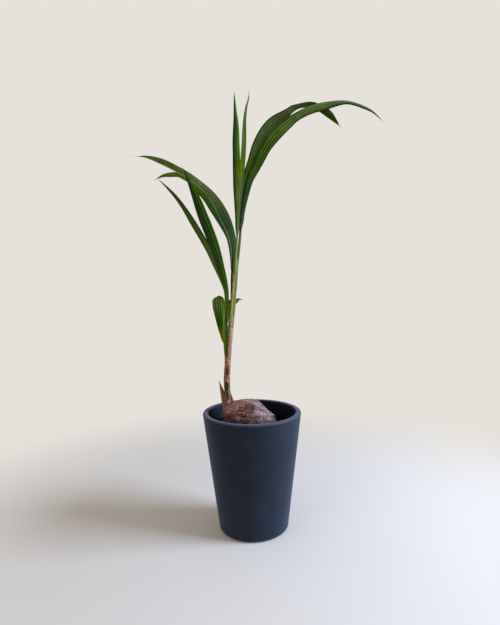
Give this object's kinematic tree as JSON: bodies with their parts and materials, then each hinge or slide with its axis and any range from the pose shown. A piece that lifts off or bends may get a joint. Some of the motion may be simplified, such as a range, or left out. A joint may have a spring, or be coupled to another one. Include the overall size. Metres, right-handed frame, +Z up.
{
  "type": "potted coconut palm",
  "caption": "Young coconut palm sprouting from its husked nut, with a leaning stem and arching forked leaves, in a tapered matt pot filled with potting mix.",
  "frame": {"origin": "centre of the pot's flat underside, on the pot's axis", "axes": "+Z up along the pot's axis; +X to the right of the picture, the side that the stem leans to and the tallest leaf arches over; +Y away from the picture's viewer"},
  "size_m": [0.7214, 0.3, 1.3171],
  "materials": {
    "pot": "matt slate blue",
    "potting_mix": "dark crumbly mix",
    "husk": "fibrous husk",
    "stem": "dry leaf sheaths over a green stem",
    "scales": "dry papery scale",
    "leaves": "satin ribbed leaf"
  },
  "bodies": {
    "root": {"pot": "pot", "soil": "potting_mix", "nut": "husk", "stem": "stem", "scale_left": "scales", "scale_right": "scales", "leaf_right_blade": "leaves", "leaf_right_long_lobe": "leaves", "leaf_right_short_lobe": "leaves", "leaf_spear_blade": "leaves", "leaf_spear_left_lobe": "leaves", "leaf_spear_right_lobe": "leaves", "leaf_left_high_blade": "leaves", "leaf_left_high_upper_lobe": "leaves", "leaf_left_high_lower_lobe": "leaves", "leaf_left_low_blade": "leaves", "leaf_left_low_upper_lobe": "leaves", "leaf_left_low_lower_lobe": "leaves", "leaf_first_blade": "leaves", "leaf_first_left_lobe": "leaves", "leaf_first_right_lobe": "leaves"}
  },
  "joints": []
}
